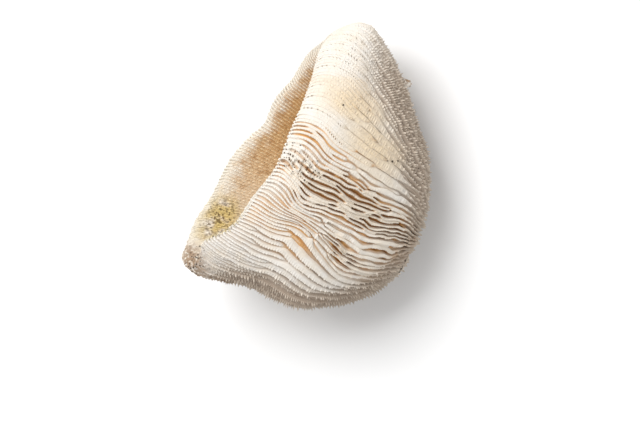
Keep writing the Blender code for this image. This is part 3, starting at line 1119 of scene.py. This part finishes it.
@dataclass
class Paint:
    """Short ways to add nodes to a material."""

    tree: bpy.types.NodeTree

    def noise(self, scale: float, detail: float) -> Socket:
        """Adds noise on Object coordinates.

        Args:
            scale: swells to the metre.
            detail: how many finer octaves it has.

        Returns:
            The noise, from 0 to 1.
        """
        place = self.tree.nodes.new("ShaderNodeTexCoord")
        node = self.tree.nodes.new("ShaderNodeTexNoise")
        node.inputs["Scale"].default_value = scale
        node.inputs["Detail"].default_value = detail
        self.tree.links.new(place.outputs["Object"], node.inputs["Vector"])
        return node.outputs["Fac"]

    def attribute(self, name: str) -> Socket:
        """Reads one of the skeleton's own fields.

        Args:
            name: the field's name.

        Returns:
            The field.
        """
        node = self.tree.nodes.new("ShaderNodeAttribute")
        node.attribute_name = name
        return node.outputs["Fac"]

    def ramp(self, value: Socket, low: float, high: float, top: float) -> Socket:
        """Stretches a value and holds it within its ends.

        Args:
            value: the value.
            low: what becomes 0.
            high: what becomes the top.
            top: the highest result.

        Returns:
            The stretched value.
        """
        node = self.tree.nodes.new("ShaderNodeMapRange")
        for name, number in (("From Min", low), ("From Max", high), ("To Max", top)):
            node.inputs[name].default_value = number
        self.tree.links.new(value, node.inputs["Value"])
        return node.outputs["Result"]

    def scaled(self, name: str, factor: float | Socket) -> Socket:
        """Reads one of the skeleton's own fields, times a factor.

        Args:
            name: the field's name.
            factor: a number or a value.

        Returns:
            The product.
        """
        node = self.tree.nodes.new("ShaderNodeMath")
        node.operation = "MULTIPLY"
        self.tree.links.new(self.attribute(name), node.inputs[0])
        if isinstance(factor, float):
            node.inputs[1].default_value = factor
        else:
            self.tree.links.new(factor, node.inputs[1])
        return node.outputs[0]

    def spots(self, name: str, scale: float, detail: float, low: float, high: float, top: float) -> Socket:
        """Makes spots where one of the skeleton's fields is strong.

        Args:
            name: the field's name.
            scale: swells to the metre.
            detail: how many finer octaves the noise has.
            low: noise at which spots begin.
            high: noise at which they are full.
            top: their strength.

        Returns:
            The spots.
        """
        return self.scaled(name, self.ramp(self.noise(scale, detail), low, high, top))

    def layered(self, colour: tuple | Socket, *layers: tuple) -> Socket:
        """Lays colours over each other.

        Args:
            colour: the lowest colour.
            layers: for each, its share and its colour; a colour is a socket or three
                numbers.

        Returns:
            The mixed colour.
        """
        for share, over in layers:
            node = self.tree.nodes.new("ShaderNodeMix")
            node.data_type = "RGBA"
            self.tree.links.new(share, node.inputs["Factor"])
            for side, mixed in (("A", colour), ("B", over)):
                socket = next(s for s in node.inputs if s.name == side and s.type == "RGBA")
                if isinstance(mixed, tuple):
                    socket.default_value = (*mixed, 1.0)
                else:
                    self.tree.links.new(mixed, socket)
            colour = next(s for s in node.outputs if s.type == "RGBA")
        return colour


@dataclass
class Lie:
    """How the coral lies in the world."""

    turned: Matrix = field(init=False)

    def __post_init__(self) -> None:
        """Works out the turn from the growth frame to the world."""
        self.turned = Matrix.Rotation(LIE_PITCH, 3, "X") @ Matrix.Rotation(LIE_ROLL, 3, "Y")

    def world(self, points: np.ndarray) -> np.ndarray:
        """Turns growth-frame points in millimetres into world points in metres."""
        return (points @ np.array(self.turned).T + np.array(RIM_MIDDLE)) * MM

    def direction(self, d: float, u: float, w: float) -> Vector:
        """Turns a growth-frame direction into a world one."""
        return self.turned @ Vector((d, u, w))


@dataclass
class Skeleton:
    """The coral's six closed wedges."""

    skin: Skin
    blades: Blades
    grain: Grain
    lie: Lie
    top: float
    slit_depth: float = 2.2
    mouth_seam: tuple = (61.8, 0.5, 0.0)
    hollow_seam: tuple = (42.3, -2.8, 0.0)
    grit: list = field(default_factory=list)

    def build(self, material: bpy.types.Material) -> list:
        """Builds, dresses and seats every wedge, and notes where grit lies.

        Args:
            material: the skeleton's material.

        Returns:
            The wedges' objects.
        """
        wedges = []
        for part in Part:
            wedge = self.wedge(part)
            seat(wedge, material)
            wedges.append(wedge)
        return wedges

    def wedge(self, part: Part) -> bpy.types.Object:
        """Builds one wedge.

        Args:
            part: which wedge.

        Returns:
            Its object, a closed mesh.
        """
        blades = self.blades.count // len(Part)
        first = part.value * blades - blades // 2
        laid = self.blades.lay_out(first, first + blades - 1)
        columns, rows = laid["turn"].shape
        points = self.surface(laid)
        shape = bmesh.new()
        bmesh.ops.create_grid(shape, x_segments=rows - 1, y_segments=columns - 1, size=1.0)
        wedge = in_scene(shape, "coral_" + part.name.lower())
        mesh = wedge.data
        flat = np.zeros(len(mesh.vertices) * 3, np.float32)
        mesh.vertices.foreach_get("co", flat)
        grid = flat.reshape(-1, 3)
        row = np.rint((grid[:, 0] + 1.0) / 2.0 * (rows - 1)).astype(int)
        column = np.rint((grid[:, 1] + 1.0) / 2.0 * (columns - 1)).astype(int)
        placed = self.lie.world(points)
        placed[..., 2] = np.clip(placed[..., 2], 0.0, self.top)
        self.note_grit(part, laid, placed)
        world = placed[column, row]
        mesh.vertices.foreach_set("co", world.astype(np.float32).ravel())
        for name, values in self.colouring(laid, points).items():
            layer = mesh.attributes.new(name, "FLOAT", "POINT")
            layer.data.foreach_set("value", np.clip(values, 0.0, 1.0)[column, row].astype(np.float32))
        self.close(mesh)
        return wedge

    def note_grit(self, part: Part, laid: dict, placed: np.ndarray) -> None:
        """Chooses places for grit, in the broken, mossy and dirty zones.

        Args:
            part: the wedge.
            laid: its layout.
            placed: its world points.
        """
        draw = np.random.default_rng(50 + part.value)
        lodged = 0.35 + 0.65 * laid["open"]
        under = laid["hollow"] * (laid["depth"] < 0.5)
        for share, size in (
            (0.040 * laid["broken"] * lodged, 0.9),
            (0.030 * laid["ochre"] ** 2, 0.6),
            (0.030 * laid["dirty"], 0.9),
            (0.0009 * under, 0.7),
        ):
            chosen = draw.uniform(0.0, 1.0, share.shape) < share
            self.grit.extend((place, size) for place in placed[chosen].tolist())

    def surface(self, laid: dict) -> np.ndarray:
        """Points of the bladed skin, drawn together at both ends.

        Args:
            laid: a layout of blades.

        Returns:
            Growth-frame points in millimetres, columns by rows.
        """
        turn, place = laid["turn"], laid["place"]
        slit = self.slit_depth * eased((self.skin.dome_share(place) - 0.955) / 0.035) * (1.0 - laid["hollow"])
        level = laid["level"] + slit - self.skin.swell(turn, place)
        points = self.skin.points(turn, place) - self.skin.normals(turn, place) * level[..., None]
        points[:, 0] = self.mouth_seam
        points[:, -1] = self.hollow_seam
        return points

    def colouring(self, laid: dict, points: np.ndarray) -> dict:
        """The fields that the finish reads.

        Args:
            laid: a layout of blades.
            points: its growth-frame points.

        Returns:
            Fields by name, each from 0 to 1, columns by rows.
        """
        gap = laid["open"]
        stain = np.maximum(laid["gaping"], laid["streaked"] * (1.0 - 0.6 * laid["knotted"]))
        stain = np.clip(stain * (1.0 + 0.5 * self.grain.at(points, 6.0)), 0.0, 1.0) * (1.0 - 0.75 * laid["limb"])
        blotch = self.grain.at(points + 20.0, 2.4)
        dome = 1.0 - laid["hollow"]
        plain = np.maximum(laid["smooth"], laid["yellowed"])
        shade = (0.42 + 0.55 * laid["limb"] + 0.5 * laid["shingled"]) * (1.0 - 0.9 * plain)
        dark = eased(2.2 * stain * laid["gaping"] - 0.2 + 0.6 * blotch)
        under = laid["depth"]
        noseward = points[..., 1]
        tanned = 0.22 + 0.73 * eased((noseward + 40.0) / 50.0)
        brown = (0.3 + 0.7 * eased((under - 0.03) / 0.10)) * (0.25 + 0.75 * eased((noseward + 25.0) / 40.0))
        return {
            "yellowed": np.maximum(laid["yellowed"], 0.30 * stain),
            "limb": laid["tinted"],
            # Painted shade: darker deep in the gaps, in the pinholes, between the limb's teeth and on the shingles'
            # lower faces.
            "shaded": dome * np.maximum(eased((gap - 0.25) / 0.55) * shade, 0.9 * laid["pit"]),
            "rusted": dome * eased((gap - 0.25) / 0.45) * eased(stain * 1.6) * (1.0 - 0.5 * laid["broken"]),
            # Dark brown deep in the stained gaps, partly a real stain and partly painted shade; also dark specks in the
            # broken part's pinholes.
            "sunk": dome * np.maximum(eased((gap - 0.45) / 0.5) * dark, laid["broken"] * laid["pit"]),
            "hollow": laid["hollow"],
            "deep": eased((under - 0.05) / 0.12 + 0.35 * blotch) * tanned,
            "deeper": eased((under - 0.10) / 0.25) * eased((noseward + 6.0) / 26.0),
            "ribbed": laid["hollow"] * gap * brown * (1.0 - under),
            "mossy": laid["ochre"] * eased(0.75 + 1.1 * blotch),
            "dirty": laid["dirty"],
            "specked": 0.9 * laid["ochre"],
        }

    def close(self, mesh: bpy.types.Mesh) -> None:
        """Merges both ends of a wedge and closes its two sides with walls.

        Args:
            mesh: the wedge's mesh, open at its sides.
        """
        shape = bmesh.new()
        shape.from_mesh(mesh)
        bmesh.ops.remove_doubles(shape, verts=shape.verts, dist=1e-7)
        edge = [e for e in shape.edges if e.is_boundary]
        shape.verts.ensure_lookup_table()
        ends = [v for v in shape.verts if v.is_boundary and len(v.link_edges) > 20]
        spine = bmesh.ops.contextual_create(shape, geom=ends)["edges"]
        for side in self.sides(edge, ends):
            bmesh.ops.triangle_fill(shape, use_beauty=True, edges=side + spine)
        bmesh.ops.recalc_face_normals(shape, faces=shape.faces)
        shape.to_mesh(mesh)
        shape.free()
        mesh.update()

    @staticmethod
    def sides(edges: list, ends: list) -> list:
        """Splits a wedge's open edge into its two sides.

        Args:
            edges: the open edges.
            ends: the two vertices where the sides meet.

        Returns:
            The edges of each side.
        """
        left = dict.fromkeys(edges)
        sides = []
        while left:
            side = [left.popitem()[0]]
            front = list(side[0].verts)
            while front:
                vertex = front.pop()
                if vertex in ends:
                    continue
                for edge in vertex.link_edges:
                    if edge in left:
                        del left[edge]
                        side.append(edge)
                        front.append(edge.other_vert(vertex))
            sides.append(side)
        return sides


@dataclass
class Grit:
    """Dark grains of sand and dead algae lodged in the skeleton."""

    lie: Lie
    skin: Skin
    lone: tuple = ((60.5, 0.154), (67.5, 0.452), (63.5, 0.502), (66.0, 0.475))
    lone_radius: float = 0.34
    colour: tuple = (0.055, 0.038, 0.024)
    roughness: float = 0.9

    def build(self, places: list) -> bpy.types.Object:
        """Builds the grains as one piece.

        Args:
            places: world points in metres where grains lie, each with a share of their size.

        Returns:
            The piece, many small closed grains.
        """
        draw = np.random.default_rng(77)
        shape = bmesh.new()
        alone = np.radians([angle for angle, _ in self.lone])
        height = self.skin.rim_place * (1.0 - np.array([share for _, share in self.lone]))
        spots = self.skin.points(alone, height) - self.skin.normals(alone, height) * 0.2
        spots = spots + self.skin.normals(alone, height) * self.skin.swell(alone, height)[:, None]
        sized = [(place, size * draw.uniform(0.13, 0.16) * draw.uniform(1.0, 2.4)) for place, size in places]
        sized += [(place, self.lone_radius) for place in self.lie.world(spots)]
        for place, radius in sized:
            made = bmesh.ops.create_icosphere(shape, subdivisions=1, radius=1.0)
            stretch = draw.uniform(0.7, 1.3, 3) * radius * MM
            for vertex in made["verts"]:
                vertex.co = Vector(place) + Vector(np.array(vertex.co) * stretch * draw.uniform(0.8, 1.2))
        for vertex in shape.verts:
            vertex.co.z = max(vertex.co.z, 0.0)
        bmesh.ops.recalc_face_normals(shape, faces=shape.faces)
        grit = in_scene(shape, "coral_grit")
        seat(grit, plain_material("dark_grit", self.colour, self.roughness))
        return grit


@dataclass
class Nub:
    """The small worm tube stuck to the nose's ridge."""

    skin: Skin
    grain: Grain
    lie: Lie
    turn: float = math.radians(5.5)
    share: float = 0.435
    radius: float = 1.25
    stretch: tuple = (1.5, 1.8, 0.9)
    sunk: float = 0.8

    def build(self, material: bpy.types.Material) -> bpy.types.Object:
        """Builds the nub.

        Args:
            material: the skeleton's material.

        Returns:
            A lumpy closed knob, sunk halfway into the skeleton.
        """
        place = np.array([self.skin.rim_place * (1.0 - self.share)])
        turn = np.array([self.turn])
        middle = self.skin.points(turn, place)[0] - self.skin.normals(turn, place)[0] * self.sunk
        shape = bmesh.new()
        layer = shape.verts.layers.float.new("dirty")
        bmesh.ops.create_icosphere(shape, subdivisions=4, radius=1.0)
        for vertex in shape.verts:
            way = np.array(vertex.co)
            bump = 0.35 * self.grain.at((way * 2.2 + 9.0)[None], 1.0)[0]
            bump = bump + 0.1 * self.grain.at((way * 2.0)[None], 0.4)[0]
            vertex.co = self.lie.world(middle + way * self.stretch * self.radius * (0.8 + bump))
            patchy = self.grain.at((way * 3.0 + 4.0)[None], 1.0)[0]
            vertex[layer] = float(eased(0.4 + 0.9 * way[1] - 0.3 * way[0] + patchy))
        bmesh.ops.recalc_face_normals(shape, faces=shape.faces)
        nub = in_scene(shape, "coral_nub")
        seat(nub, material)
        return nub


@dataclass
class Studio:
    """Pale floor, soft lights and the camera."""

    lie: Lie
    sensor: float = 36.0
    floor_half: float = 2.5
    floor_colour: tuple = (0.93, 0.93, 0.93)
    room_strength: float = 0.55
    aim: tuple = (30.0, 0.0, 0.0)

    def build(self) -> None:
        """Builds the studio."""
        self.floor()
        self.world()
        across, along, towards = self.axes()
        middle = Vector(self.lie.world(np.array(self.aim)))
        upper_left = (towards * 0.80 - across * 0.46 + along * 0.38).normalized()
        self.light("key", middle + upper_left * 0.85, middle, 0.55, 7.0)
        low_right = (towards * 0.8 + across * 0.5 - along * 0.35).normalized()
        self.light("fill", middle + low_right * 1.1, middle, 0.9, 1.2)
        self.camera(across, along, towards)

    def axes(self) -> tuple:
        """The photograph's directions.

        Returns:
            The frame's right, its up and the way to the camera, in the world.
        """
        lean = (math.cos(VIEW_TILT), 0.0, math.sin(VIEW_TILT))
        level = self.lie.direction(*lean)
        long = self.lie.direction(0.0, 1.0, 0.0)
        across = long * VIEW_ALONG[0] + level * VIEW_ALONG[1]
        along = long * VIEW_ALONG[1] - level * VIEW_ALONG[0]
        return across, along, across.cross(along)

    def floor(self) -> None:
        """Lays the floor."""
        shape = bmesh.new()
        bmesh.ops.create_grid(shape, x_segments=8, y_segments=8, size=self.floor_half)
        floor = in_scene(shape, "floor")
        floor.data.materials.append(plain_material("pale_floor", self.floor_colour, 0.95))
        floor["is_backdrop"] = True
        log.info("floor")

    def world(self) -> None:
        """Lights the room softly from all sides."""
        world = bpy.data.worlds.new("studio")
        world.use_nodes = True
        room = world.node_tree.nodes["Background"]
        room.inputs["Color"].default_value = (1.0, 1.0, 1.0, 1.0)
        room.inputs["Strength"].default_value = self.room_strength
        bpy.context.scene.world = world
        bpy.context.scene.view_settings.view_transform = "Standard"

    def light(self, name: str, place: Vector, target: Vector, size: float, power: float) -> None:
        """Adds a square soft light.

        Args:
            name: the light's name.
            place: where it stands.
            target: what it looks at.
            size: its side in metres.
            power: its power in watts.
        """
        data = bpy.data.lights.new(name, "AREA")
        data.size = size
        data.energy = power
        lamp = bpy.data.objects.new(name, data)
        lamp.location = place
        lamp.rotation_euler = (place - target).to_track_quat("Z", "Y").to_euler()
        bpy.context.scene.collection.objects.link(lamp)
        log.info("%s light", name)

    def camera(self, across: Vector, along: Vector, towards: Vector) -> None:
        """Stands the camera where the photograph was taken.

        Args:
            across: the frame's right.
            along: the frame's up.
            towards: the way from the coral to the camera.
        """
        data = bpy.data.cameras.new("camera")
        data.sensor_width = self.sensor
        data.lens = self.sensor * VIEW_DISTANCE / (FRAME_WIDTH * VIEW_SCALE)
        data.clip_start = 0.01
        data.clip_end = 10.0
        long = self.lie.direction(0.0, 1.0, 0.0)
        level = self.lie.direction(math.cos(VIEW_TILT), 0.0, math.sin(VIEW_TILT))
        along_coral, over_coral, nearer = VIEW_CENTRE
        place = long * along_coral + level * over_coral + towards * (nearer + VIEW_DISTANCE)
        place = Vector(self.lie.world(np.zeros(3))) + place * MM
        camera = bpy.data.objects.new("camera", data)
        turned = Matrix((across, along, towards)).transposed().to_4x4()
        camera.matrix_world = Matrix.Translation(place) @ turned
        bpy.context.scene.collection.objects.link(camera)
        bpy.context.scene.camera = camera
        log.info("camera")


def main() -> None:
    """Builds the studio and the coral."""
    cad_box = [list(corner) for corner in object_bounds()]
    grain = Grain(5)
    skin = Skin()
    lie = Lie()
    Studio(lie).build()
    blades = Blades(skin, Zones(grain))
    material = SkeletonFinish().build()
    skeleton = Skeleton(skin, blades, grain, lie, cad_box[1][2])
    skeleton.build(material)
    Grit(lie, skin).build(skeleton.grit)
    Nub(skin, grain, lie).build(material)


if __name__ == "__main__":
    main()
